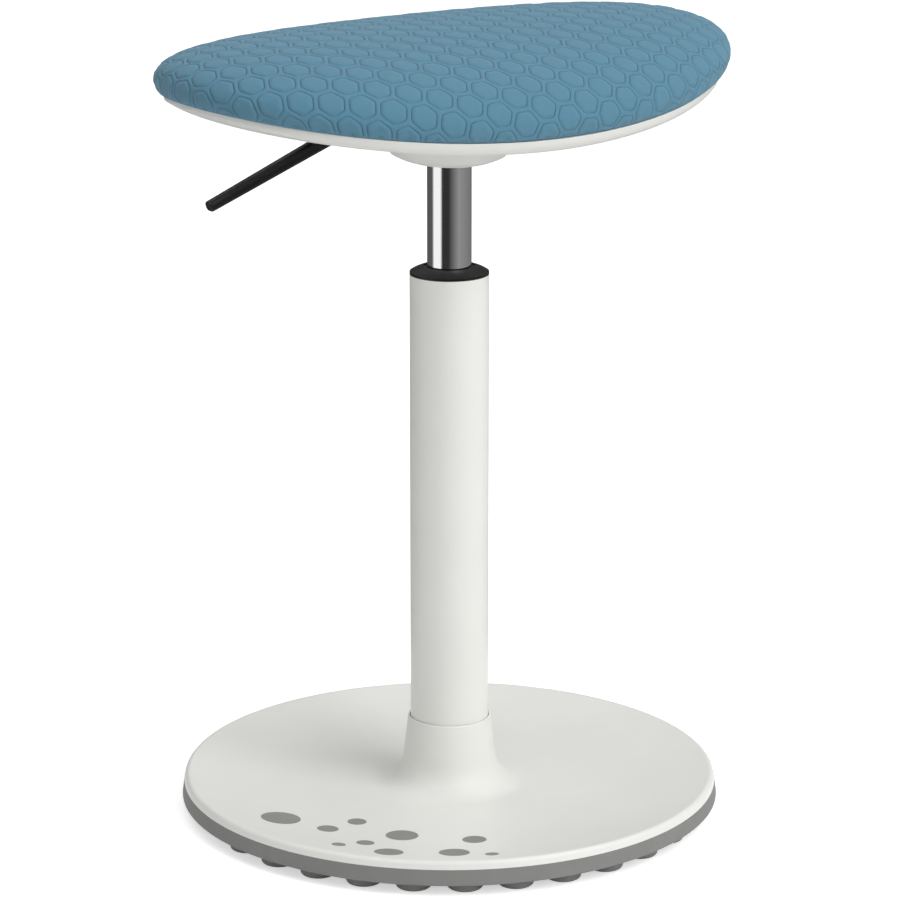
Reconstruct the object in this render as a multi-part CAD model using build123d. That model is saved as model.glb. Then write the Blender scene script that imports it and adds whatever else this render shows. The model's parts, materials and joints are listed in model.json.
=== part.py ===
from build123d import *
from math import asin, cos, pi, radians, sin, sqrt, tan
import os

# Sit-stand stool: round studded base, gas column, wide padded seat with a release lever.
# Millimetres, +Z up, origin on the floor under the column axis, the sitter faces -Y.
# The seat is drawn part of the way up its travel.

# Fits between pieces
slide_clearance = 0.05
seat_clearance = 0.3
screw_clearance = 0.3
press_clearance = 0.02

# Rubber sole with its rings of studs
base_radius = 173.0
sole_slope = 5.0
sole_edge_height = 8.0
stud_height = 5.5
stud_radius = 11.3
stud_edge_radius = 2.4
stud_rings = 5
stud_margin = 13.0
stud_turn = 5.3
stud_pitch = 31.4
sole_web = 1.5
band_width = 12.0
band_height = 10.4

# Steel base plate
plate_thickness = 3.5
plate_hole_radius = 12.0

# White base shell: a shallow dish with a flared neck round the column
shell_wall = 3.0
dish_width = 91.0
dish_arc_radius = 428.0
rim_step = 1.2
rim_slope = 1.5
rim_edge_radius = 2.6
neck_top_radius = 26.6
neck_foot_radius = 31.8
neck_height = 44.5
neck_flare_radius = 20.0
neck_lip_radius = 0.8
neck_gap = 0.5

# Grip dots let into the dish: bearing in degrees, distance in from the rim, diameter
grip_dots = (
    (181.4, 39.6, 25.0),
    (195.8, 50.2, 13.5),
    (198.0, 74.1, 12.0),
    (206.7, 24.5, 8.8),
    (211.3, 38.5, 11.3),
    (218.4, 63.4, 20.4),
    (219.7, 22.8, 18.0),
    (235.2, 29.0, 19.0),
    (241.8, 58.5, 15.0),
    (243.9, 21.3, 8.4),
)
dot_depth = 1.2
dot_gap = 0.1

# Screws that hold the shell down on the base plate
shell_screw_count = 6
shell_screw_ring = 3
shell_screw_radius = 2.0
shell_screw_head_radius = 3.8
shell_screw_head_height = 2.6
shell_screw_turn = 2.7
shell_boss_radius = 5.0
shell_screw_cover = 1.0

# Column tube and the disc that carries the bearing
tube_radius = 25.0
tube_wall = 1.5
tube_length = 338.5
disc_thickness = 5.0

# Guide bush in the top of the tube
bush_length = 79.0
bush_rim_height = 1.6
bush_crown_height = 3.6
bush_crown_bow = 0.5
bush_lip_radius = 16.2
bush_lip_drop = 0.8

# Thrust bearing
race_thickness = 1.5
race_outer_radius = 15.0
race_inner_radius = 6.0
ball_radius = 2.0
ball_count = 10
ball_circle_radius = 10.5
cage_thickness = 2.0
cage_inner_radius = 7.2
cage_outer_radius = 13.8
cage_gap = 0.1

# Piston rod and what it carries
rod_radius = 5.0
rod_reach = 284.5
shoulder_radius = 8.0
shoulder_height = 2.0
bump_radius = 11.0
bump_height = 10.5
bump_chamfer = 2.0
washer_radius = 9.5
washer_thickness = 1.2
clip_radius = 8.5
clip_thickness = 1.0
clip_groove_depth = 0.8
clip_mouth = 7.0
rod_tail = 0.8
piston_height = 12.0
piston_wear_gap = 0.2
seal_height = 3.0
seal_depth = 1.3

# Gas cylinder, drawn above its lowest setting
cylinder_radius = 14.0
cylinder_wall = 1.5
cylinder_length = 366.0
cylinder_cap = 6.0
drawn_lift = 40.0
bump_gap = 0.9
gland_height = 18.0
taper_drop = 0.7

# Valve button in the top of the cylinder
valve_radius = 4.0
valve_edge_radius = 1.2
valve_height = 4.0
valve_flange_radius = 6.5
valve_flange_height = 3.0

# Taper hub, seat plate and their screws
hub_radius = 19.0
hub_height = 18.5
seat_plate_radius = 36.4
seat_plate_thickness = 2.5
plate_screw_across = 20.0
plate_screw_back = 20.0
plate_screw_radius = 3.0
plate_screw_head_radius = 5.0
plate_screw_head_height = 3.2
plate_screw_grip = 12.0
insert_radius = 4.6
insert_height = 14.0

# Release lever, its bracket and its pin
lever_pivot_reach = 28.0
lever_pivot_rise = 7.8
lever_arm_height = 7.0
lever_arm_width = 10.0
lever_nose = 5.0
tongue_width = 5.0
tongue_height = 4.0
tongue_length = 24.0
handle_start = 46.0
handle_bend = 76.0
handle_bend_spread = 9.0
handle_droop = 20.5
handle_length = 108.0
handle_width = 10.0
handle_height = 8.4
handle_tip_width = 7.6
handle_tip_height = 6.6
handle_tip_round = 1.4
handle_corner_share = 0.42
bracket_wall = 2.0
bracket_length = 14.0
bracket_height = 13.5
bracket_side_gap = 1.5
pin_radius = 2.5
pin_head_radius = 4.0
pin_head_height = 1.5

# Seat: outline, bend, tilt and the way it is built up
seat_width = 402.0
seat_depth = 244.0
seat_tilt = 2.5
seat_bend_radius = 1033.0
seam_rise = 15.8
cover_thickness = 1.5
crown_height = 41.0
skirt_height = 8.0
skirt_draw = 3.0
crown_end_share = 0.45
dome_stations = (0.0, 22.0, 42.0, 57.0, 70.0, 80.0, 86.0)
board_thickness = 8.0
board_inset = 18.0
board_lift = 1.0
board_boss_radius = 8.5

# White seat pan: a shallow bowl under the cushion with a round boss for the mechanism
pan_wall = 2.5
pan_rim_inset = 3.0
pan_end_inset = 7.0
pan_rim_height = 1.5
pan_bowl_depth = 16.0
pan_boss_depth = 37.8
pan_boss_edge_height = 5.8
pan_boss_radius = 36.5
pan_boss_root_radius = 54.0
pan_boss_root_depth = 13.5
pan_boss_flare_angle = 60.0
pan_boss_floor_radius = 16.0
pan_boss_bow = 1.0
pan_hole_gap = 0.5
slot_start = 47.0
slot_end = 121.0
slot_side_gap = 1.5
pan_screw_across = 100.0
pan_screw_back = 40.0
pan_screw_radius = 1.9
pan_screw_head_radius = 3.9
pan_screw_head_height = 2.6
pan_screw_bite = 4.5
pan_screw_boss_radius = 6.5
pan_screw_head_drop = 4.0

# Heights that follow from the stack of pieces, from the floor up
web_top = stud_height + sole_web
plate_top = web_top + plate_thickness
dish_height = plate_top + shell_wall
band_top = web_top + band_height
neck_top = dish_height + neck_height
tube_top = plate_top + tube_length
disc_top = plate_top + disc_thickness
ball_height = disc_top + race_thickness + slide_clearance + ball_radius
upper_race_foot = ball_height + ball_radius + slide_clearance
shoulder_foot = upper_race_foot + race_thickness
bump_foot = shoulder_foot + shoulder_height
bump_top = bump_foot + bump_height
rod_top = bump_foot + rod_reach
washer_foot = plate_top - slide_clearance - washer_thickness
clip_foot = washer_foot - slide_clearance - clip_thickness
rod_foot = clip_foot - rod_tail
cylinder_foot = bump_top + bump_gap + drawn_lift
cylinder_top = cylinder_foot + cylinder_length
hub_foot = cylinder_top - hub_height
plate_foot = cylinder_top - seat_plate_thickness
valve_top = cylinder_top + valve_height
lever_pivot_height = cylinder_top + lever_pivot_rise
seam_height = cylinder_top + seam_rise

# Radii that follow from the fits and from the size of the base
sole_foot_radius = base_radius - sole_slope
shell_radius = base_radius - rim_step
stud_ring_step = (sole_foot_radius - stud_margin) / stud_rings
dish_flat_radius = base_radius - dish_width
tube_bore = tube_radius - tube_wall
cylinder_bore = cylinder_radius - cylinder_wall
piston_radius = cylinder_bore - piston_wear_gap
plate_radius = base_radius - band_width - seat_clearance
shell_screw_circle = stud_ring_step * (shell_screw_ring + 0.5)

# The seat's own frame: tilted down at the front, its zero on the seam over the column
seat_frame = Pos(0, 0, seam_height) * Rot(seat_tilt, 0, 0)


def low_cylinder(radius, foot, top):
    """Upright cylinder on the column axis between two heights."""
    on_foot = (Align.CENTER, Align.CENTER, Align.MIN)
    return Pos(0, 0, foot) * Cylinder(radius, top - foot, align=on_foot)


def ring(inner, outer, foot, top):
    """Upright ring on the column axis between two heights."""
    return low_cylinder(outer, foot, top) - low_cylinder(inner, foot, top)


def turned(*edges):
    """Solid turned about the column axis from edges drawn as (radius, height)."""
    return revolve(Plane.XZ * make_face(Curve() + list(edges)), Axis.Z)


def turned_polygon(*points):
    """Solid turned about the column axis from the corners of its half section."""
    return turned(*Polyline(*points, close=True).edges())


def circle_edges(solid, radius, height):
    """Round edges of a turned solid at a given radius and height."""
    reach = 0.01
    return solid.edges().filter_by(
        lambda e: e.geom_type == GeomType.CIRCLE
        and abs(e.radius - radius) < reach
        and abs(e.center(CenterOf.BOUNDING_BOX).Z - height) < reach
    )


def around(count, radius, turn=0.0):
    """Places evenly spaced on a circle about the column axis."""
    step = 360.0 / count
    angles = [radians(turn + step * i) for i in range(count)]
    return [Pos(radius * cos(a), radius * sin(a), 0) for a in angles]


def four_corners(across, back):
    """Places at the four corners of a rectangle about the column axis."""
    return [Pos(sx * across, sy * back, 0) for sx in (-1, 1) for sy in (-1, 1)]


def group(solids):
    """Several equal solids kept apart in one node."""
    return Compound(children=[solid.solid() for solid in solids])


def along(axis_plane, radius, start, end):
    """Cylinder along a plane's normal between two distances from it."""
    return axis_plane * Pos(0, 0, start) * Cylinder(
        radius, end - start, align=(Align.CENTER, Align.CENTER, Align.MIN)
    )


# Base


def dish_rise(radius, wall=0.0):
    """Height of the dish above its flat middle, on its top or below it by a wall."""
    reach = max(radius - dish_flat_radius, 0.0)
    arc = dish_arc_radius + wall
    return arc - sqrt(arc * arc - reach * reach)


def dish_curve(height, radius, wall=0.0):
    """Edge of the dish from its flat middle out to a radius, with that wall's arc."""
    mid = (dish_flat_radius + radius) / 2
    return ThreePointArc(
        (dish_flat_radius, height),
        (mid, height + dish_rise(mid, wall)),
        (radius, height + dish_rise(radius, wall)),
    )


def dish_band(inner, outer, foot, top):
    """Layer that follows the dish between two heights at its flat middle."""
    low, high = dish_curve(foot, outer), dish_curve(top, outer)
    return turned(
        Line((inner, foot), low @ 0),
        low,
        Line(low @ 1, high @ 1),
        high,
        Line(high @ 0, (inner, top)),
        Line((inner, top), (inner, foot)),
    )


def make_rubber_sole():
    band_bore = base_radius - band_width
    sole = turned_polygon(
        (0, stud_height),
        (sole_foot_radius, stud_height),
        (base_radius, sole_edge_height),
        (shell_radius, band_top),
        (band_bore, band_top),
        (band_bore, web_top),
        (0, web_top),
    )
    stud = low_cylinder(stud_radius, 0, web_top - sole_web / 2)
    stud = fillet(circle_edges(stud, stud_radius, 0), stud_edge_radius)
    places = [Pos(0, 0, 0)]
    for ring_number in range(1, stud_rings + 1):
        radius = stud_ring_step * ring_number
        places += around(round(2 * pi * radius / stud_pitch), radius, stud_turn)
    sole = sole + [place * stud for place in places]
    access = low_cylinder(shell_screw_head_radius + screw_clearance, 0, web_top)
    return sole - [place * access for place in shell_screw_places()]


def shell_screw_places():
    return around(shell_screw_count, shell_screw_circle, stud_turn + shell_screw_turn)


def make_base_plate():
    plate = ring(plate_hole_radius, plate_radius, web_top, plate_top)
    hole = low_cylinder(shell_screw_radius + screw_clearance, web_top, plate_top)
    return plate - [place * hole for place in shell_screw_places()]


def shell_screw_top():
    return dish_height + dish_rise(shell_screw_circle) - shell_screw_cover


def make_base_shell():
    rim_bore = shell_radius - shell_wall
    rim_top_radius = shell_radius - rim_slope
    bore = tube_radius + neck_gap
    top = dish_curve(dish_height, rim_top_radius)
    under = dish_curve(plate_top, rim_bore, shell_wall)
    shell = turned(
        Line((bore, plate_top), under @ 0),
        under,
        Line(under @ 1, (rim_bore, band_top)),
        Line((rim_bore, band_top), (shell_radius, band_top)),
        Line((shell_radius, band_top), top @ 1),
        top,
        Line(top @ 0, (neck_foot_radius, dish_height)),
        Line((neck_foot_radius, dish_height), (neck_top_radius, neck_top)),
        Line((neck_top_radius, neck_top), (bore, neck_top)),
        Line((bore, neck_top), (bore, plate_top)),
    )
    shell = fillet(circle_edges(shell, neck_foot_radius, dish_height), neck_flare_radius)
    rim_top = dish_height + dish_rise(rim_top_radius)
    shell = fillet(circle_edges(shell, rim_top_radius, rim_top), rim_edge_radius)
    shell = fillet(circle_edges(shell, neck_top_radius, neck_top), neck_lip_radius)
    boss = low_cylinder(shell_boss_radius, plate_top, dish_height)
    hole = low_cylinder(shell_screw_radius, plate_top, shell_screw_top())
    shell = shell + [place * boss for place in shell_screw_places()]
    shell = shell - [place * hole for place in shell_screw_places()]
    pocket = dish_band(neck_foot_radius, base_radius, dish_height - dot_depth, dish_height + shell_wall)
    return shell - [pocket & dot_pillar(dot, dot_gap) for dot in grip_dots]


def dot_pillar(dot, gap):
    bearing, inset, diameter = dot
    angle, reach = radians(bearing), base_radius - inset
    place = Pos(reach * cos(angle), reach * sin(angle), 0)
    return place * low_cylinder(diameter / 2 + gap, 0, neck_top)


def make_grip_dots():
    layer = dish_band(neck_foot_radius, base_radius, dish_height - dot_depth, dish_height)
    return group([layer & dot_pillar(dot, 0.0) for dot in grip_dots])


def make_shell_screws():
    head_foot = web_top - shell_screw_head_height
    screw = low_cylinder(shell_screw_head_radius, head_foot, web_top)
    screw = screw + low_cylinder(shell_screw_radius - slide_clearance, head_foot, shell_screw_top())
    return group([place * screw for place in shell_screw_places()])


# Column and bearing


def make_column_tube():
    return ring(tube_bore, tube_radius, plate_top, tube_top)


def make_column_disc():
    return ring(rod_radius + slide_clearance, tube_bore - press_clearance, plate_top, disc_top)


def make_guide_bush():
    bore = cylinder_radius + slide_clearance
    outside = tube_bore - press_clearance
    crown_foot = tube_top + bush_rim_height
    crown_top = crown_foot + bush_crown_height
    crown_mid = ((tube_radius + bush_lip_radius) / 2, (crown_foot + crown_top) / 2 + bush_crown_bow)
    crown = ThreePointArc((tube_radius, crown_foot), crown_mid, (bush_lip_radius, crown_top))
    corners = (
        (bush_lip_radius, crown_top),
        (bush_lip_radius, crown_top - bush_lip_drop),
        (bore, crown_top - bush_lip_drop),
        (bore, tube_top - bush_length),
        (outside, tube_top - bush_length),
        (outside, tube_top),
        (tube_radius, tube_top),
        (tube_radius, crown_foot),
    )
    return turned(*Polyline(*corners).edges(), crown)


def make_lower_race():
    return ring(race_inner_radius, race_outer_radius, disc_top, disc_top + race_thickness)


def make_upper_race():
    bore = rod_radius + slide_clearance
    return ring(bore, race_outer_radius, upper_race_foot, shoulder_foot)


def make_bearing_cage():
    half = cage_thickness / 2
    cage = ring(cage_inner_radius, cage_outer_radius, ball_height - half, ball_height + half)
    pocket = low_cylinder(ball_radius + cage_gap, ball_height - half, ball_height + half)
    return cage - [place * pocket for place in around(ball_count, ball_circle_radius)]


def make_bearing_balls():
    ball = Pos(0, 0, ball_height) * Sphere(ball_radius)
    return group([place * ball for place in around(ball_count, ball_circle_radius)])


def make_piston_rod():
    rod = low_cylinder(rod_radius, rod_foot, rod_top)
    rod = rod + low_cylinder(shoulder_radius, shoulder_foot, bump_foot)
    groove = ring(rod_radius - clip_groove_depth, clip_radius, clip_foot, clip_foot + clip_thickness)
    return rod - groove


def make_rod_clip():
    bore = rod_radius - clip_groove_depth + slide_clearance
    half = clip_thickness / 2 - press_clearance
    middle = clip_foot + clip_thickness / 2
    mouth = Pos(clip_radius, 0, middle) * Box(2 * clip_radius, clip_mouth, clip_thickness)
    return ring(bore, clip_radius, middle - half, middle + half) - mouth


def make_rod_washer():
    bore = rod_radius + slide_clearance
    return ring(bore, washer_radius, washer_foot, washer_foot + washer_thickness)


def make_bump_stop():
    bore = rod_radius + slide_clearance
    stop = ring(bore, bump_radius, bump_foot, bump_top)
    return chamfer(circle_edges(stop, bump_radius, bump_top), bump_chamfer)


def make_piston():
    groove_foot = rod_top - (piston_height + seal_height) / 2
    piston = ring(rod_radius + press_clearance, piston_radius, rod_top - piston_height, rod_top)
    groove = ring(cylinder_bore - seal_depth, cylinder_bore, groove_foot, groove_foot + seal_height)
    return piston - groove


def make_piston_seal():
    middle = rod_top - piston_height / 2
    half = seal_height / 2 - press_clearance
    bore = cylinder_bore - seal_depth + press_clearance
    return ring(bore, cylinder_bore - slide_clearance, middle - half, middle + half)


# Gas cylinder, valve and seat mechanism


def make_gas_cylinder():
    cavity_top = cylinder_top - cylinder_cap
    valve_hole = valve_radius + slide_clearance
    return turned_polygon(
        (cylinder_bore, cylinder_foot),
        (cylinder_radius, cylinder_foot),
        (cylinder_radius, hub_foot),
        (cylinder_radius - taper_drop, cylinder_top),
        (valve_hole, cylinder_top),
        (valve_hole, cavity_top),
        (cylinder_bore, cavity_top),
    )


def make_rod_gland():
    bore = rod_radius + slide_clearance
    outside = cylinder_bore - press_clearance
    return ring(bore, outside, cylinder_foot, cylinder_foot + gland_height)


def make_valve_button():
    flange_top = cylinder_top - cylinder_cap - seat_clearance
    flange_foot = flange_top - valve_flange_height
    button = low_cylinder(valve_radius, flange_foot, valve_top)
    button = fillet(circle_edges(button, valve_radius, valve_top), valve_edge_radius)
    return button + low_cylinder(valve_flange_radius, flange_foot, flange_top)


def make_seat_hub():
    return turned_polygon(
        (cylinder_radius + press_clearance, hub_foot),
        (hub_radius, hub_foot),
        (hub_radius, cylinder_top),
        (cylinder_radius - taper_drop + press_clearance, cylinder_top),
    )


def make_seat_plate():
    plate = ring(hub_radius + press_clearance, seat_plate_radius, plate_foot, cylinder_top)
    hole = low_cylinder(plate_screw_radius + screw_clearance, plate_foot, cylinder_top)
    return plate - [place * hole for place in four_corners(plate_screw_across, plate_screw_back)]


def plate_screw_tip():
    return cylinder_top + plate_screw_grip


def make_plate_screws():
    head_foot = plate_foot - plate_screw_head_height
    screw = low_cylinder(plate_screw_head_radius, head_foot, plate_foot)
    screw = screw + low_cylinder(plate_screw_radius, head_foot, plate_screw_tip())
    return group([place * screw for place in four_corners(plate_screw_across, plate_screw_back)])


def make_thread_inserts():
    bore = plate_screw_radius + slide_clearance
    insert = ring(bore, insert_radius, cylinder_top, cylinder_top + insert_height)
    return group([place * insert for place in four_corners(plate_screw_across, plate_screw_back)])


# Lever


def pivot_plane():
    """Plane through the lever's pivot, square to the pivot's axis along Y."""
    return Plane((-lever_pivot_reach, 0, lever_pivot_height), x_dir=(1, 0, 0), z_dir=(0, 1, 0))


def lever_bar(start, end, width, height):
    """Straight bar of the lever between two distances out from the column axis."""
    middle = -(start + end) / 2
    return Pos(middle, 0, lever_pivot_height) * Box(end - start, width, height)


def make_lever_arm():
    arm = lever_bar(-lever_nose, handle_start, lever_arm_width, lever_arm_height)
    arm = arm + lever_bar(handle_start, handle_start + tongue_length, tongue_width, tongue_height)
    bore = along(pivot_plane(), pin_radius + slide_clearance, -lever_arm_width, lever_arm_width)
    return arm - bore


def handle_section(reach, drop, turn, width, height):
    """Oval cross section of the handle, square to its run."""
    angle = radians(turn)
    place = Plane(
        (-reach, 0, lever_pivot_height - drop), x_dir=(0, 1, 0), z_dir=(-cos(angle), 0, -sin(angle))
    )
    corner = handle_corner_share * min(width, height)
    return place * RectangleRounded(width, height, corner)


def make_lever_handle():
    slope = radians(handle_droop)
    root = (handle_width, handle_height)
    tip = (handle_tip_width, handle_tip_height)

    def on_droop(run, size):
        return handle_section(handle_bend + run * cos(slope), run * sin(slope), handle_droop, *size)

    straight_end = handle_bend - handle_bend_spread
    bend_radius = handle_bend_spread / tan(slope / 2)
    bend_axis = Axis((-straight_end, 0, lever_pivot_height - bend_radius), (0, -1, 0))
    handle = extrude(handle_section(handle_start, 0, 0, *root), straight_end - handle_start)
    handle = handle + revolve(handle_section(straight_end, 0, 0, *root), bend_axis, handle_droop)
    handle = handle + loft([on_droop(handle_bend_spread, root), on_droop(handle_length, tip)])
    tip_face = handle.faces().sort_by(Axis.X)[0]
    handle = fillet(tip_face.edges(), handle_tip_round)
    gap = slide_clearance
    socket = lever_bar(
        handle_start, handle_start + tongue_length + gap, tongue_width + 2 * gap, tongue_height + 2 * gap
    )
    return handle - socket


def make_lever_bracket():
    side = lever_arm_width / 2 + bracket_side_gap
    width = 2 * (side + bracket_wall)
    block = Pos(-lever_pivot_reach, 0, cylinder_top + bracket_height / 2) * Box(
        bracket_length, width, bracket_height
    )
    channel = Pos(-lever_pivot_reach, 0, cylinder_top + bracket_wall + bracket_height / 2) * Box(
        bracket_length, 2 * side, bracket_height
    )
    bore = along(pivot_plane(), pin_radius + press_clearance, -width, width)
    return block - channel - bore


def make_lever_pin():
    end = lever_arm_width / 2 + bracket_side_gap + bracket_wall
    pin = along(pivot_plane(), pin_radius, -end - pin_head_height, end)
    return pin + along(pivot_plane(), pin_head_radius, -end - pin_head_height, -end)


# Seat


def bend_bore(offset):
    """Long cylinder whose underside is the bent seat surface, raised by an offset."""
    radius = seat_bend_radius - offset
    drum = Pos(0, 0, seat_bend_radius) * Rot(90, 0, 0) * Cylinder(radius, 2 * seat_depth)
    return seat_frame * drum


def seat_prism(inset, foot, top):
    """Upright prism of the seat's oval outline, in the seat's frame."""
    oval = Ellipse(seat_width / 2 - inset, seat_depth / 2 - inset)
    return seat_frame * Pos(0, 0, foot) * extrude(oval, top - foot)


def dome_section(turn, half_width, half_depth, crown, skirt, draw, foot):
    """Cross section of a bent dome at one station along the seat's width.

    Heights count from the bent seam surface; a negative crown and skirt hang below it.
    """
    share = cos(radians(turn))
    across = half_width * sin(radians(turn))
    base = seat_bend_radius - sqrt(seat_bend_radius**2 - across**2)
    half = half_depth * share
    rise = abs(crown) * share
    side = 1 if crown > 0 else -1
    end_radius = crown_end_share * rise
    top_radius = (half**2 + rise**2 - 2 * half * end_radius) / (2 * (rise - end_radius))
    end_centre = half - end_radius
    lean = asin(end_centre / (top_radius - end_radius))
    half_lean = (radians(90) + lean) / 2
    widest = base + skirt
    join = (end_centre + end_radius * sin(lean), widest + side * end_radius * cos(lean))
    bulge = (end_centre + end_radius * sin(half_lean), widest + side * end_radius * cos(half_lean))
    bottom = (half - draw * share, base + foot)

    def left(point):
        return (-point[0], point[1])

    edges = [
        Line(left(bottom), bottom),
        Line(bottom, (half, widest)),
        ThreePointArc((half, widest), bulge, join),
        ThreePointArc(join, (0, widest + side * rise), left(join)),
        ThreePointArc(left(join), left(bulge), (-half, widest)),
        Line((-half, widest), left(bottom)),
    ]
    place = Plane((across, 0, 0), x_dir=(0, 1, 0), z_dir=(1, 0, 0))
    return place * make_face(Curve() + edges)


def bent_dome(*sizes):
    """Oval dome on the bent seam surface, lofted from station to station across the seat."""
    turns = [-turn for turn in reversed(dome_stations[1:])] + list(dome_stations)
    return seat_frame * loft([dome_section(turn, *sizes) for turn in turns])


def cushion_dome(inset, foot):
    """Cushion form: crowned, drawn in at its foot and bent up towards its ends."""
    return bent_dome(
        seat_width / 2 - inset, seat_depth / 2 - inset, crown_height - inset, skirt_height, skirt_draw, foot
    )


def make_seat_cover():
    return cushion_dome(0.0, 0.0) - cushion_dome(cover_thickness, -skirt_height)


def make_seat_foam():
    foam = cushion_dome(cover_thickness + seat_clearance, 0.0)
    recess = seat_prism(board_inset - seat_clearance, -seat_depth, seat_depth)
    return foam - (recess - bend_bore(board_lift + board_thickness + seat_clearance))


def make_seat_board():
    board = seat_prism(board_inset, -seat_depth, seat_depth) & bend_bore(board_lift)
    boss = low_cylinder(board_boss_radius, cylinder_top, seam_height + board_thickness)
    places = four_corners(plate_screw_across, plate_screw_back)
    board = board + [place * boss for place in places]
    board = board - bend_bore(board_lift + board_thickness)
    bore = low_cylinder(insert_radius + press_clearance, cylinder_top, cylinder_top + insert_height)
    board = board - [place * bore for place in places]
    pilot = low_cylinder(pan_screw_radius, seam_height - seat_depth, pan_screw_tip() + press_clearance)
    return board - [place * pilot for place in four_corners(pan_screw_across, pan_screw_back)]


def pan_bowl(wall, top):
    """Bowl of the seat pan as a closed form, smaller by a wall, up to a height over the seam."""
    return bent_dome(
        seat_width / 2 - pan_end_inset - wall,
        seat_depth / 2 - pan_rim_inset - wall,
        wall - pan_bowl_depth,
        -pan_rim_height - seat_clearance,
        0.0,
        top,
    )


def pan_boss(wall):
    """Round boss under the bowl, where the cylinder goes in, as a closed form smaller by a wall."""
    foot = wall - pan_boss_depth
    edge = foot + pan_boss_edge_height
    floor_radius = pan_boss_floor_radius
    edge_radius = pan_boss_radius - wall
    middle = ((edge_radius + floor_radius) / 2 + pan_boss_bow, (foot + edge) / 2 - pan_boss_bow)
    root = (pan_boss_root_radius - wall, wall - pan_boss_root_depth)
    lean = radians(pan_boss_flare_angle)
    return seat_frame * turned(
        Line((0, foot), (floor_radius, foot)),
        ThreePointArc((floor_radius, foot), middle, (edge_radius, edge)),
        TangentArc((edge_radius, edge), root, tangent=(cos(lean), sin(lean))),
        Line(root, (0, root[1])),
        Line((0, root[1]), (0, foot)),
    )


def pan_screw_head_top():
    return seam_height + board_lift - pan_screw_head_drop


def pan_screw_tip():
    across, back = pan_screw_across, pan_screw_back
    rise = seat_bend_radius - sqrt(seat_bend_radius**2 - across**2)
    return seam_height + rise + board_lift + pan_screw_bite - back * tan(radians(seat_tilt))


def make_seat_pan():
    outer = pan_bowl(0.0, -seat_clearance) + pan_boss(0.0)
    tall = pan_bowl(0.0, board_thickness)
    shell = outer - pan_bowl(pan_wall, board_thickness) - pan_boss(pan_wall)
    places = four_corners(pan_screw_across, pan_screw_back)
    post = low_cylinder(pan_screw_boss_radius, seam_height - seat_depth, seam_height + seat_depth)
    posts = [(place * post & tall) - bend_bore(board_lift - seat_clearance) for place in places]
    pan = shell + posts
    head_hole = low_cylinder(
        pan_screw_head_radius + screw_clearance, seam_height - seat_depth, pan_screw_head_top()
    )
    shank_hole = low_cylinder(
        pan_screw_radius + screw_clearance, seam_height - seat_depth, seam_height + seat_depth
    )
    pan = pan - [place * head_hole for place in places] - [place * shank_hole for place in places]
    hole = low_cylinder(cylinder_radius + pan_hole_gap, hub_foot - seat_depth, cylinder_top)
    slot_width = handle_width + 2 * slot_side_gap
    slot = Pos(-(slot_start + slot_end) / 2, 0, seam_height - seat_depth) * extrude(
        SlotOverall(slot_end - slot_start, slot_width), 2 * seat_depth
    )
    return pan - hole - slot


def make_pan_screws():
    head_top = pan_screw_head_top()
    screw = low_cylinder(pan_screw_head_radius, head_top - pan_screw_head_height, head_top)
    shank_radius = pan_screw_radius - press_clearance
    screw = screw + low_cylinder(shank_radius, head_top - pan_screw_head_height, pan_screw_tip())
    return group([place * screw for place in four_corners(pan_screw_across, pan_screw_back)])


nodes = {
    "rubber_sole": make_rubber_sole,
    "base_plate": make_base_plate,
    "base_shell": make_base_shell,
    "grip_dots": make_grip_dots,
    "shell_screws": make_shell_screws,
    "column_tube": make_column_tube,
    "column_disc": make_column_disc,
    "guide_bush": make_guide_bush,
    "lower_race": make_lower_race,
    "upper_race": make_upper_race,
    "bearing_cage": make_bearing_cage,
    "bearing_balls": make_bearing_balls,
    "piston_rod": make_piston_rod,
    "rod_clip": make_rod_clip,
    "rod_washer": make_rod_washer,
    "bump_stop": make_bump_stop,
    "piston": make_piston,
    "piston_seal": make_piston_seal,
    "gas_cylinder": make_gas_cylinder,
    "rod_gland": make_rod_gland,
    "valve_button": make_valve_button,
    "seat_hub": make_seat_hub,
    "seat_plate": make_seat_plate,
    "plate_screws": make_plate_screws,
    "thread_inserts": make_thread_inserts,
    "lever_bracket": make_lever_bracket,
    "lever_pin": make_lever_pin,
    "lever_arm": make_lever_arm,
    "lever_handle": make_lever_handle,
    "seat_board": make_seat_board,
    "seat_foam": make_seat_foam,
    "seat_cover": make_seat_cover,
    "seat_pan": make_seat_pan,
    "pan_screws": make_pan_screws,
}

os.makedirs("parts", exist_ok=True)
for name, make in nodes.items():
    export_step(make(), f"parts/{name}.step")

print("seam height", round(seam_height, 2), "seat top", round(seam_height + skirt_height + crown_height, 2))
print("lever pivot", -lever_pivot_reach, round(lever_pivot_height, 2), "valve top", round(valve_top, 2))
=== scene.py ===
import json
from math import cos, pi, radians, sin, sqrt

import bmesh
import bpy
import numpy as np
from mathutils import Matrix, Vector


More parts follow.
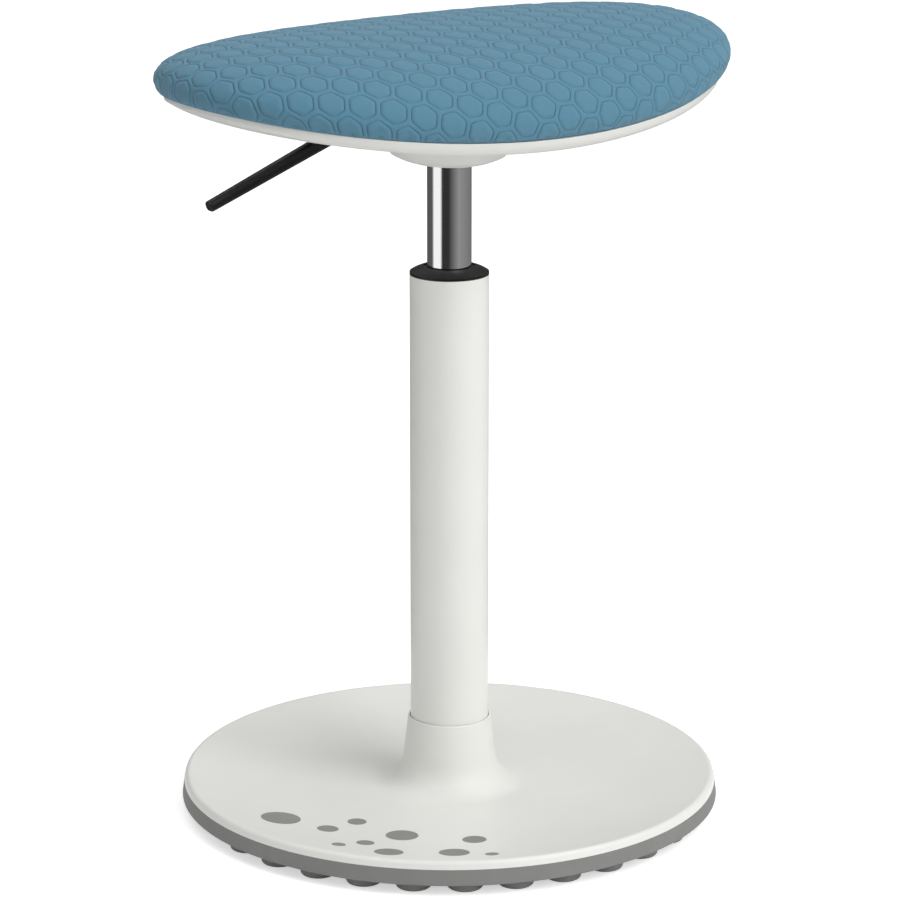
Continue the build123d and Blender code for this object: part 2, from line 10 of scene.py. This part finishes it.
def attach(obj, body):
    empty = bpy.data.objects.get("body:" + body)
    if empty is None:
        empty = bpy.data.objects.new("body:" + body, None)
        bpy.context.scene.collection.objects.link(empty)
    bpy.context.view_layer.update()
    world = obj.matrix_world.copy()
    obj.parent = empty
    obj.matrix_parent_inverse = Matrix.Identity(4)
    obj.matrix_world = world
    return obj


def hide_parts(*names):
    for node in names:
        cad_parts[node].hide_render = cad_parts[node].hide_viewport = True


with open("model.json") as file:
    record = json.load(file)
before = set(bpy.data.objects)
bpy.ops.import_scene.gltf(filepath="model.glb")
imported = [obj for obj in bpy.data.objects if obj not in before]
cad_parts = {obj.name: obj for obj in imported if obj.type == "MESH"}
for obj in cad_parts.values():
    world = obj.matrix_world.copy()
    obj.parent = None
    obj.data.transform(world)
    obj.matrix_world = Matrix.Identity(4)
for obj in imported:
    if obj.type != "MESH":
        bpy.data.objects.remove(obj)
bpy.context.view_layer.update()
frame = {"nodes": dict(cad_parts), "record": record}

# The camera stands at the photograph's angle, 36 degrees round to the sitter's right
VIEW_TURN = radians(36.0)
VIEW_SIDE = 0.0004
VIEW_DISTANCE = 2.2712
VIEW_HEIGHT = 0.8467
VIEW_PITCH = radians(15.088)
VIEW_LENS = 148.29
VIEW_SENSOR = 36.0

# The seat's form in metres, as the solids have it
SEAT_HALF_WIDTH = 0.201
SEAT_HALF_DEPTH = 0.122
SEAT_BEND = 1.033
SEAT_TILT = radians(2.5)
SEAM_HEIGHT = 0.4578
CROWN = 0.041
SKIRT = 0.008
SKIRT_DRAW = 0.003

# Quilting of the cover
HEX_PITCH = 0.0188
HEX_RINGS = 30
HEX_POINT = radians(30)
FABRIC = 0.0012
WALE = 0.0011
COURSE = 0.0009
TUCK = 0.038
UNDER_EDGE = 0.013
HEM = 0.0015
HEM_SINK = 0.0002
HEM_STEPS = 180
# Steps in from the rim of a hexagon to its middle: width and rise of each
CELL_STEPS = ((0.0011, 0.00005), (0.0004, -0.0010), (0.0005, 0.0010), (0.0026, 0.00055))
# Painted shade in the hexagon grooves: heights of the groove floor that get it, its share at a cell's
# front and back, and the camera's side, where it is full
LINE_FLOOR = (-0.0011, -0.0006)
SHADE_FRONT = 0.25
SHADE_SIDE = Vector((cos(VIEW_TURN), -sin(VIEW_TURN)))

# Run of the cloth, in steps over the crown and then down and under
CROWN_STEPS = 240
TUCK_STEPS = 80
CROWN_END = CROWN_STEPS - 1

# Foam
FOAM_INSET = 0.0030
FOAM_STEPS = 96
FOAM_UNDER = ((0.97, 0.0022), (0.91, 0.0018), (0.91, 0.0096), (0.5, 0.0096), (0.0, 0.0096))


# Finishes


def srgb(red, green, blue):
    """Colour as it is seen on a screen, 0 to 255, turned into the renderer's own scale."""
    def straight(c):
        c = c / 255
        return c / 12.92 if c <= 0.04045 else ((c + 0.055) / 1.055) ** 2.4
    return (straight(red), straight(green), straight(blue), 1.0)


class Wire:
    """One socket of a finish; arithmetic on it adds Math nodes."""

    def __init__(self, finish, socket):
        self.finish, self.socket = finish, socket

    def math(self, operation, first, second=0.0):
        return self.finish.add("ShaderNodeMath", {"operation": operation}, {0: first, 1: second})

    def __add__(self, other): return self.math("ADD", self, other)
    def __radd__(self, other): return self.math("ADD", other, self)
    def __sub__(self, other): return self.math("SUBTRACT", self, other)
    def __rsub__(self, other): return self.math("SUBTRACT", other, self)
    def __mul__(self, other): return self.math("MULTIPLY", self, other)
    def __rmul__(self, other): return self.math("MULTIPLY", other, self)

    def sine(self): return self.math("SINE", self)

    def between(self, low, high):
        """0 below low, 1 above high, smooth from one to the other."""
        settings = {"interpolation_type": "SMOOTHSTEP"}
        return self.finish.add("ShaderNodeMapRange", settings, {0: self, 1: low, 2: high})


class Finish:
    """A node material with one Principled shader."""

    def __init__(self, name, **fixed):
        self.material = bpy.data.materials.new(name)
        self.material.use_nodes = True
        self.tree = self.material.node_tree
        self.tree.nodes.clear()
        self.shader = self.tree.nodes.new("ShaderNodeBsdfPrincipled")
        self.output = self.tree.nodes.new("ShaderNodeOutputMaterial")
        self.tree.links.new(self.shader.outputs[0], self.output.inputs[0])
        self.set(self.shader, fixed)

    def set(self, node, sockets):
        for key, value in sockets.items():
            socket = node.inputs[key]
            if isinstance(value, Wire):
                self.tree.links.new(value.socket, socket)
            else:
                socket.default_value = value

    def add(self, kind, settings=None, sockets=None, out=0):
        node = self.tree.nodes.new(kind)
        for key, value in (settings or {}).items():
            if key == "stops":
                while len(node.color_ramp.elements) < len(value):
                    node.color_ramp.elements.new(1.0)
                for stop, (place, colour) in zip(node.color_ramp.elements, value):
                    stop.position, stop.color = place, colour
            else:
                setattr(node, key, value)
        self.set(node, sockets or {})
        return Wire(self, node.outputs[out])

    def shade(self, **sockets):
        self.set(self.shader, {key.replace("_", " "): value for key, value in sockets.items()})

    def place(self):
        return self.add("ShaderNodeTexCoord", out="Object")

    def noise(self, where, scale, detail=2.0, roughness=0.5):
        sockets = {"Vector": where, "Scale": scale, "Detail": detail, "Roughness": roughness}
        return self.add("ShaderNodeTexNoise", None, sockets)

    def stretched(self, where, scale):
        return self.add("ShaderNodeMapping", None, {"Vector": where, "Scale": scale})

    def blend(self, share, first, second):
        settings = {"data_type": "RGBA"}
        return self.add("ShaderNodeMix", settings, {0: share, 6: first, 7: second}, out=2)

    def relief(self, height, distance, strength=1.0):
        sockets = {"Height": height, "Distance": distance, "Strength": strength}
        return self.add("ShaderNodeBump", None, sockets)


def moulded_plastic(name, colour, grain=0.00006, roughness=0.45, gloss=0.5):
    """Injection-moulded plastic with a fine spark-eroded grain."""
    f = Finish(name, **{"IOR": 1.48, "Specular IOR Level": gloss})
    where = f.place()
    cloud = f.noise(where, 14.0, 3.0)
    pebble = f.noise(where, 1700.0, 2.0, 0.6)
    darker = tuple(0.94 * c for c in colour[:3]) + (1.0,)
    f.shade(
        Base_Color=f.blend(cloud.between(0.3, 0.7) * 0.5, colour, darker),
        Roughness=roughness + 0.10 * (cloud - 0.5) + 0.06 * (pebble - 0.5),
        Normal=f.relief(pebble, grain),
    )
    return f.material


def powder_coat(name, colour, roughness=0.42):
    """Baked powder coat with a slight orange-peel skin."""
    f = Finish(name, **{"IOR": 1.5})
    where = f.place()
    cloud = f.noise(where, 20.0, 3.0)
    peel = f.noise(where, 420.0, 2.0, 0.45)
    darker = tuple(0.95 * c for c in colour[:3]) + (1.0,)
    f.shade(
        Base_Color=f.blend(cloud.between(0.3, 0.7) * 0.4, colour, darker),
        Roughness=roughness + 0.08 * (cloud - 0.5),
        Normal=f.relief(peel, 0.00008),
    )
    return f.material


def soft_rubber(name, colour, roughness=0.72):
    """Matt moulded rubber with a fine grain and a little dust."""
    f = Finish(name, **{"IOR": 1.45})
    where = f.place()
    cloud = f.noise(where, 30.0, 4.0, 0.6)
    grain = f.noise(where, 1300.0, 3.0, 0.6)
    dusty = tuple(min(1.0, 1.18 * c + 0.01) for c in colour[:3]) + (1.0,)
    f.shade(
        Base_Color=f.blend(cloud.between(0.45, 0.75) * 0.6, colour, dusty),
        Roughness=roughness + 0.16 * (cloud - 0.5),
        Normal=f.relief(grain, 0.00012),
    )
    return f.material


def bright_chrome(name):
    """Polished chrome plate with faint lengthwise drag marks."""
    f = Finish(name, **{"Metallic": 1.0})
    where = f.place()
    drag = f.noise(f.stretched(where, (900.0, 900.0, 12.0)), 1.0, 2.0)
    haze = f.noise(where, 60.0, 3.0)
    f.shade(
        Base_Color=f.blend(haze, (0.90, 0.905, 0.91, 1.0), (0.95, 0.953, 0.956, 1.0)),
        Roughness=0.07 + 0.05 * haze + 0.03 * drag,
        Normal=f.relief(drag, 0.000004),
    )
    return f.material


def plain_steel(name, colour, roughness=0.34):
    """Zinc-plated steel, cloudy and slightly brushed."""
    f = Finish(name, **{"Metallic": 1.0})
    where = f.place()
    cloud = f.noise(where, 90.0, 4.0, 0.6)
    brush = f.noise(f.stretched(where, (1400.0, 120.0, 120.0)), 1.0, 2.0)
    darker = tuple(0.72 * c for c in colour[:3]) + (1.0,)
    f.shade(
        Base_Color=f.blend(cloud, darker, colour),
        Roughness=roughness + 0.18 * (cloud - 0.5) + 0.10 * (brush - 0.5),
        Normal=f.relief(brush, 0.00002),
    )
    return f.material


def moulded_ply(name):
    """Raw beech ply: long grain across the seat."""
    f = Finish(name, **{"IOR": 1.5})
    where = f.place()
    grain = f.noise(f.stretched(where, (14.0, 260.0, 260.0)), 1.0, 4.0, 0.6)
    f.shade(
        Base_Color=f.blend(grain, srgb(196, 158, 112), srgb(222, 190, 148)),
        Roughness=0.6 + 0.2 * (grain - 0.5),
        Normal=f.relief(grain, 0.0002),
    )
    return f.material


def open_foam(name):
    """Cream polyurethane foam with open cells."""
    f = Finish(name)
    where = f.place()
    cells = f.noise(where, 1500.0, 3.0, 0.7)
    f.shade(
        Base_Color=f.blend(cells, srgb(206, 196, 160), srgb(236, 229, 200)),
        Roughness=0.9 + 0.08 * (cells - 0.5),
        Normal=f.relief(cells, 0.0005),
    )
    return f.material


def quilted_knit(name):
    """Blue knit quilted into hexagons: fine courses of stitches, with painted shade in the groove floors
    round each hexagon.
    """
    f = Finish(name, **{"IOR": 1.4, "Sheen Weight": 0.15, "Sheen Roughness": 0.5})
    flat = f.add("ShaderNodeUVMap", {"uv_map": "cloth"})
    split = f.add("ShaderNodeSeparateXYZ", None, {0: flat})
    across, along = split, Wire(f, split.socket.node.outputs[1])
    line = f.add("ShaderNodeAttribute", {"attribute_name": "pressed"}, out="Fac")
    wale = (across * (2 * pi / WALE)).sine()
    course = (along * (2 * pi / COURSE) + 1.2 * wale).sine()
    fuzz = f.noise(flat, 2600.0, 2.0, 0.6)
    cloud = f.noise(flat, 40.0, 3.0)
    stitch = 0.5 + 0.25 * wale + 0.25 * course
    tone = f.blend(
        (0.55 * stitch + 0.45 * fuzz).between(0.2, 0.8), srgb(76, 124, 147), srgb(92, 139, 162)
    )
    tone = f.blend(cloud.between(0.35, 0.7) * 0.35, tone, srgb(84, 133, 154))
    f.shade(
        # Painted shade: groove floors are darkened toward srgb(40, 72, 96) by the per-point groove shade
        # value
        Base_Color=f.blend(line.between(0.1, 0.95) * 0.68, tone, srgb(40, 72, 96)),
        Roughness=0.82 + 0.10 * (fuzz - 0.5),
        Normal=f.relief(stitch + 0.6 * fuzz, 0.00012),
    )
    return f.material


FINISHES = {
    "white_plastic": moulded_plastic("white_plastic", srgb(237, 237, 233)),
    "white_paint": powder_coat("white_paint", srgb(237, 237, 233)),
    "sole_rubber": soft_rubber("sole_rubber", srgb(132, 132, 131)),
    "dot_rubber": soft_rubber("dot_rubber", srgb(142, 142, 138)),
    "black_rubber": soft_rubber("black_rubber", srgb(38, 38, 38)),
    "black_plastic": moulded_plastic("black_plastic", srgb(16, 16, 17), 0.00005, 0.45, 0.42),
    "black_paint": powder_coat("black_paint", srgb(26, 26, 27), 0.45),
    "bright_steel": bright_chrome("bright_steel"),
    "bare_steel": plain_steel("bare_steel", (0.62, 0.62, 0.63, 1.0)),
    "turned_aluminium": plain_steel("turned_aluminium", (0.72, 0.72, 0.74, 1.0), 0.28),
    "insert_brass": plain_steel("insert_brass", (0.72, 0.54, 0.24, 1.0), 0.30),
    "board_wood": moulded_ply("board_wood"),
    "foam": open_foam("foam"),
    "blue_fabric": quilted_knit("blue_fabric"),
}

for subpart in frame["record"]["subparts"]:
    node = frame["nodes"][subpart["node"]]
    node.data.materials.clear()
    node.data.materials.append(FINISHES[subpart["material_slot"]])

# Painted shade: the pan's white is made a shade darker than the shell's, for the shade that falls on the
# pan and its boss
frame["nodes"]["seat_pan"].data.materials[0] = moulded_plastic("pan_plastic_painted_shade", srgb(226, 226, 222))


# Seat cushion


def full_turn(bm, outline, steps):
    """Turn an outline once round the upright axis."""
    turn = {"cent": (0, 0, 0), "axis": (0, 0, 1), "angle": 2 * pi}
    bmesh.ops.spin(bm, geom=outline, steps=steps, use_merge=True, **turn)


def onto_seat(across, back, height):
    """Places across, back and over the bent seam surface, turned into points of the part."""
    bend = SEAT_BEND - np.sqrt(SEAT_BEND**2 - across**2)
    up = bend + height
    rear = back * cos(SEAT_TILT) - up * sin(SEAT_TILT)
    level = SEAM_HEIGHT + back * sin(SEAT_TILT) + up * cos(SEAT_TILT)
    return np.stack((across, rear, level), axis=-1)


def cloth_profile():
    """Run of the cloth from the crown over the edge and under, as a table by its length.

    Columns: cloth length across and back, half width, half depth and height there.
    """
    turn = np.linspace(0.0, pi / 2, CROWN_STEPS)
    rows = []
    for half in (SEAT_HALF_WIDTH, SEAT_HALF_DEPTH):
        step = np.hypot(np.diff(half * np.sin(turn)), np.diff(CROWN * np.cos(turn)))
        rows.append(np.cumsum(np.r_[0.0, step]))
    half_width, half_depth = SEAT_HALF_WIDTH * np.sin(turn), SEAT_HALF_DEPTH * np.sin(turn)
    height = SKIRT + CROWN * np.cos(turn)
    run = np.linspace(0.0, TUCK, TUCK_STEPS)[1:]
    down = SKIRT * 1.05
    drop = np.where(run < down, run, down) / down
    inward = SKIRT_DRAW * drop**2 + np.maximum(run - down, 0.0)
    foot = SKIRT * (1 - drop)
    return (
        np.r_[rows[0], rows[0][-1] + run],
        np.r_[rows[1], rows[1][-1] + run],
        np.r_[half_width, SEAT_HALF_WIDTH - inward],
        np.r_[half_depth, SEAT_HALF_DEPTH - inward],
        np.r_[height, foot],
    )


PROFILE = cloth_profile()


def where_on_profile(flat):
    """Row of the profile, with its fraction, that a point of the flat cloth comes to."""
    rows = np.arange(len(PROFILE[0]), dtype=float)
    low, high = np.full(len(flat), 1e-6), np.full(len(flat), rows[-1])
    for _ in range(44):
        middle = (low + high) / 2
        wide, deep = np.interp(middle, rows, PROFILE[0]), np.interp(middle, rows, PROFILE[1])
        outside = (flat[:, 0] / wide) ** 2 + (flat[:, 1] / deep) ** 2 > 1
        low, high = np.where(outside, middle, low), np.where(outside, high, middle)
    return (low + high) / 2


def past_edge(flat):
    """Length of cloth from the edge of the crown to points of the flat cloth."""
    rows = np.arange(len(PROFILE[0]))
    return np.interp(where_on_profile(flat), rows, PROFILE[1]) - PROFILE[1][CROWN_END]


def lay_cloth(flat):
    """Points of the flat cloth laid over the cushion."""
    rows = np.arange(len(PROFILE[0]), dtype=float)
    at = where_on_profile(flat)
    wide, deep, half_width, half_depth, height = (np.interp(at, rows, column) for column in PROFILE)
    return onto_seat(half_width * flat[:, 0] / wide, half_depth * flat[:, 1] / deep, height)


def hexagon_centres():
    """Middles of the hexagons that the cover is cut to."""
    centres = []
    for i in range(-HEX_RINGS, HEX_RINGS + 1):
        for j in range(-HEX_RINGS, HEX_RINGS + 1):
            x = HEX_PITCH * (i * cos(HEX_POINT) + j * cos(pi / 2))
            y = HEX_PITCH * (i * sin(HEX_POINT) + j * sin(pi / 2))
            centres.append((x, y))
    centres = np.array(centres)
    return centres[past_edge(centres) < SKIRT + UNDER_EDGE]


def quilted_cover():
    """Knit cover quilted into hexagons and drawn over the foam."""
    bm = bmesh.new()
    for x, y in hexagon_centres():
        spot = Matrix.Translation((x, y, 0)) @ Matrix.Rotation(HEX_POINT, 4, "Z")
        bmesh.ops.create_circle(bm, cap_ends=True, radius=HEX_PITCH / sqrt(3), segments=6, matrix=spot)
    bmesh.ops.remove_doubles(bm, verts=bm.verts, dist=0.0003)
    bmesh.ops.recalc_face_normals(bm, faces=bm.faces)
    if sum(f.normal.z for f in bm.faces) < 0:
        bmesh.ops.reverse_faces(bm, faces=bm.faces)
    bmesh.ops.bisect_edges(bm, edges=bm.edges, cuts=2)
    bmesh.ops.solidify(bm, geom=bm.faces[:], thickness=FABRIC)
    top = max(v.co.z for v in bm.verts)
    bmesh.ops.translate(bm, verts=bm.verts, vec=(0, 0, -top))
    cells = [f for f in bm.faces if f.normal.z > 0.5]
    for inset, rise in CELL_STEPS:
        bmesh.ops.inset_individual(bm, faces=cells, thickness=inset, depth=rise, use_even_offset=True)
    # Painted shade in the groove floors, one value per point
    pressed = bm.verts.layers.float.new("pressed")
    cloth = bm.loops.layers.uv.new("cloth")
    for face in bm.faces:
        if len(face.verts) > 4:
            paint_groove_shade(face, pressed)
    for face in bm.faces:
        face.smooth = True
        for loop in face.loops:
            loop[cloth].uv = loop.vert.co.xy
    bm.verts.ensure_lookup_table()
    flat = np.array([v.co for v in bm.verts])
    step = 0.0004
    middle = lay_cloth(flat[:, :2])
    east, north = lay_cloth(flat[:, :2] + (step, 0)), lay_cloth(flat[:, :2] + (0, step))
    normal = np.cross(east - middle, north - middle)
    normal /= np.linalg.norm(normal, axis=1, keepdims=True)
    down = (past_edge(flat[:, :2]) - 0.4 * SKIRT) / (0.6 * SKIRT)
    ease = 1 - 0.7 * np.clip(down, 0, 1)
    rise = np.where(flat[:, 2] > 0, flat[:, 2] * ease, flat[:, 2])
    for v, place in zip(bm.verts, middle + normal * rise[:, None]):
        v.co = place
    rolled_hem(bm, cloth)
    cover = finished(bm, "cushion_cover", "blue_fabric")
    smoothing = cover.modifiers.new("round", "SUBSURF")
    smoothing.levels = smoothing.render_levels = 1
    return cover


def paint_groove_shade(cell, pressed):
    """Paint shade into the groove floor round a cell: full at its two sides as the camera sees them, a
    share at its front and back.
    """
    middle = cell.calc_center_median()
    ring = set(cell.verts)
    for _ in range(2):
        ring = {e.other_vert(v) for v in ring for e in v.link_edges} | ring
    for v in ring:
        if LINE_FLOOR[0] < v.co.z < LINE_FLOOR[1]:
            way = (v.co - middle).xy.normalized()
            v[pressed] = SHADE_FRONT + (1 - SHADE_FRONT) * abs(way.dot(SHADE_SIDE)) ** 3


def rolled_hem(bm, cloth):
    """Rolled edge of the cover, where it meets the pan."""
    kept = set(bm.verts)
    upright = Matrix.Translation((1, 0, 0)) @ Matrix.Rotation(pi / 2, 4, "X")
    bmesh.ops.create_circle(bm, radius=HEM, segments=10, matrix=upright)
    roll = [v for v in bm.verts if v not in kept]
    edges = [e for e in bm.edges if e.verts[0] not in kept]
    full_turn(bm, roll + edges, HEM_STEPS)
    roll = [v for v in bm.verts if v not in kept]
    faces = [f for f in bm.faces if f.verts[0] not in kept]
    bmesh.ops.recalc_face_normals(bm, faces=faces)
    for face in faces:
        face.smooth = True
        for loop in face.loops:
            loop[cloth].uv = (loop.vert.co.x * SEAT_HALF_WIDTH, loop.vert.co.y * SEAT_HALF_DEPTH)
    at = np.array([v.co for v in roll])
    reach = np.hypot(at[:, 0], at[:, 1])
    inward = SKIRT_DRAW + HEM + 1 - reach
    laid = onto_seat(
        (SEAT_HALF_WIDTH - inward) * at[:, 0] / reach,
        (SEAT_HALF_DEPTH - inward) * at[:, 1] / reach,
        at[:, 2] + HEM - HEM_SINK,
    )
    for v, place in zip(roll, laid):
        v.co = place


def foam_core():
    """Foam pad under the cover, hollowed underneath for the board."""
    bm = bmesh.new()
    rim = [(sin(radians(a)), SKIRT + (CROWN - FOAM_INSET) * cos(radians(a))) for a in range(0, 91, 5)]
    line = [bm.verts.new((r, 0, h)) for r, h in [*rim, *FOAM_UNDER]]
    edges = [bm.edges.new(pair) for pair in zip(line, line[1:])]
    full_turn(bm, line + edges, FOAM_STEPS)
    bmesh.ops.remove_doubles(bm, verts=bm.verts, dist=1e-5)
    bmesh.ops.recalc_face_normals(bm, faces=bm.faces)
    for face in bm.faces:
        face.smooth = True
    bm.verts.ensure_lookup_table()
    at = np.array([v.co for v in bm.verts])
    across, back = at[:, 0] * (SEAT_HALF_WIDTH - FOAM_INSET), at[:, 1] * (SEAT_HALF_DEPTH - FOAM_INSET)
    laid = onto_seat(across, back, at[:, 2])
    for v, place in zip(bm.verts, laid):
        v.co = place
    return finished(bm, "foam_core", "foam")


def finished(bm, name, slot):
    """Mesh object of a piece with its finish."""
    mesh = bpy.data.meshes.new(name)
    bm.to_mesh(mesh)
    bm.free()
    piece = bpy.data.objects.new(name, mesh)
    bpy.context.scene.collection.objects.link(piece)
    mesh.materials.append(FINISHES[slot])
    return piece


cover = quilted_cover()
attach(cover, "seat")
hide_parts("seat_cover")

core = foam_core()
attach(core, "seat")
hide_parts("seat_foam")


# Studio

FLOOR_LIFT = 0.55
FILL_LIGHT = 0.41


def floor_finish():
    """Pale floor that reads as white, keeps the shadow, and lets a camera below look through."""
    pale = {"Base Color": (0.9, 0.9, 0.9, 1.0), "Roughness": 0.9, "Specular IOR Level": 0.1}
    f = Finish("studio_floor", **pale)
    ray = f.add("ShaderNodeLightPath", out="Is Camera Ray")
    mirrored = Wire(f, ray.socket.node.outputs["Is Glossy Ray"])
    through = Wire(f, ray.socket.node.outputs["Is Transmission Ray"])
    seen = (ray + mirrored + through).between(0.0, 1.0)
    lift = f.add("ShaderNodeEmission", None, {"Color": (1, 1, 1, 1), "Strength": seen * FLOOR_LIFT})
    both = f.add("ShaderNodeAddShader", None, {0: Wire(f, f.shader.outputs[0]), 1: lift})
    below = f.add("ShaderNodeNewGeometry", out="Backfacing")
    clear = f.add("ShaderNodeBsdfTransparent")
    mixed = f.add("ShaderNodeMixShader", None, {0: below, 1: both, 2: clear})
    f.tree.links.new(mixed.socket, f.output.inputs[0])
    return f.material


def studio_floor():
    bm = bmesh.new()
    bmesh.ops.create_circle(bm, cap_ends=True, radius=40.0, segments=64)
    mesh = bpy.data.meshes.new("studio_floor")
    bm.to_mesh(mesh)
    bm.free()
    floor = bpy.data.objects.new("studio_floor", mesh)
    bpy.context.scene.collection.objects.link(floor)
    mesh.materials.append(floor_finish())


def soft_box(name, place, aim, width, height, power):
    lamp = bpy.data.lights.new(name, "AREA")
    lamp.shape = "RECTANGLE"
    lamp.size, lamp.size_y, lamp.energy = width, height, power
    box = bpy.data.objects.new(name, lamp)
    bpy.context.scene.collection.objects.link(box)
    box.location = place
    box.rotation_euler = (Vector(aim) - Vector(place)).to_track_quat("-Z", "Y").to_euler()


# Bands of painted reflection on the screen: place round the stool as a share of a turn, and glow
SCREEN_BANDS = (
    (0.0, 0.5), (0.01, 0.95), (0.122, 0.95), (0.146, 0.03), (0.24, 0.03), (0.258, 0.06), (0.39, 0.28),
    (0.42, 0.26), (0.65, 0.17), (0.8, 0.12), (0.83, 0.09), (0.975, 0.09), (1.0, 0.5),
)
SCREEN_OUTLINE = ((0.3, 0, 0.004), (1.5, 0, 0.5), (1.5, 0, 1.3))
SCREEN_STEPS = 96


def reflection_screen():
    """Glowing bowl round the stool that only mirror surfaces see: painted reflections, dark bands with
    bright bands between them.
    """
    f = Finish("reflection_screen")
    turned = f.add("ShaderNodeMapping", None, {"Vector": f.place(), "Rotation": (0, 0, VIEW_TURN)})
    round_it = f.add("ShaderNodeTexGradient", {"gradient_type": "RADIAL"}, {0: turned})
    stops = [(at, (grey, grey, grey, 1)) for at, grey in SCREEN_BANDS]
    shades = f.add("ShaderNodeValToRGB", {"stops": stops}, {0: round_it})
    glow = f.add("ShaderNodeEmission", None, {"Color": shades})
    f.tree.links.new(glow.socket, f.output.inputs[0])
    bm = bmesh.new()
    foot, bend, head = (bm.verts.new(at) for at in SCREEN_OUTLINE)
    wall = [foot, bend, head, bm.edges.new((foot, bend)), bm.edges.new((bend, head))]
    full_turn(bm, wall, SCREEN_STEPS)
    mesh = bpy.data.meshes.new("reflection_screen")
    bm.to_mesh(mesh)
    bm.free()
    screen = bpy.data.objects.new("reflection_screen", mesh)
    bpy.context.scene.collection.objects.link(screen)
    mesh.materials.append(f.material)
    screen.visible_camera = screen.visible_diffuse = False
    screen.visible_shadow = screen.visible_transmission = False


def studio_world():
    world = bpy.data.worlds.new("studio")
    bpy.context.scene.world = world
    world.use_nodes = True
    nodes, links = world.node_tree.nodes, world.node_tree.links
    nodes.clear()
    ray = nodes.new("ShaderNodeLightPath")
    either, any_of = nodes.new("ShaderNodeMath"), nodes.new("ShaderNodeMath")
    either.operation = any_of.operation = "MAXIMUM"
    links.new(ray.outputs["Is Camera Ray"], either.inputs[0])
    links.new(ray.outputs["Is Glossy Ray"], either.inputs[1])
    links.new(either.outputs[0], any_of.inputs[0])
    links.new(ray.outputs["Is Transmission Ray"], any_of.inputs[1])
    fill, seen = nodes.new("ShaderNodeBackground"), nodes.new("ShaderNodeBackground")
    for light, strength in ((fill, FILL_LIGHT), (seen, 1.0)):
        light.inputs["Color"].default_value = (1.0, 1.0, 1.0, 1.0)
        light.inputs["Strength"].default_value = strength
    mix, out = nodes.new("ShaderNodeMixShader"), nodes.new("ShaderNodeOutputWorld")
    links.new(any_of.outputs[0], mix.inputs[0])
    links.new(fill.outputs[0], mix.inputs[1])
    links.new(seen.outputs[0], mix.inputs[2])
    links.new(mix.outputs[0], out.inputs[0])


def in_view(right, ahead, up):
    """Studio place, given as the camera sees it, in the part's frame."""
    return (
        right * cos(VIEW_TURN) + ahead * sin(VIEW_TURN),
        -right * sin(VIEW_TURN) + ahead * cos(VIEW_TURN),
        up,
    )


def studio_camera():
    lens = bpy.data.cameras.new("camera")
    lens.lens, lens.sensor_width, lens.clip_end = VIEW_LENS, VIEW_SENSOR, 200.0
    camera = bpy.data.objects.new("camera", lens)
    bpy.context.scene.collection.objects.link(camera)
    camera.location = in_view(VIEW_SIDE, -VIEW_DISTANCE, VIEW_HEIGHT)
    camera.rotation_euler = (pi / 2 - VIEW_PITCH, 0.0, -VIEW_TURN)
    bpy.context.scene.camera = camera


studio_floor()
reflection_screen()
studio_world()
studio_camera()
soft_box("key", in_view(2.6, -2.0, 2.6), (0, 0, 0.3), 3.0, 3.0, 92.0)
soft_box("top", in_view(0.0, 0.3, 5.2), (0, 0, 0.2), 7.0, 7.0, 110.0)

bpy.context.scene.view_settings.view_transform = "Standard"
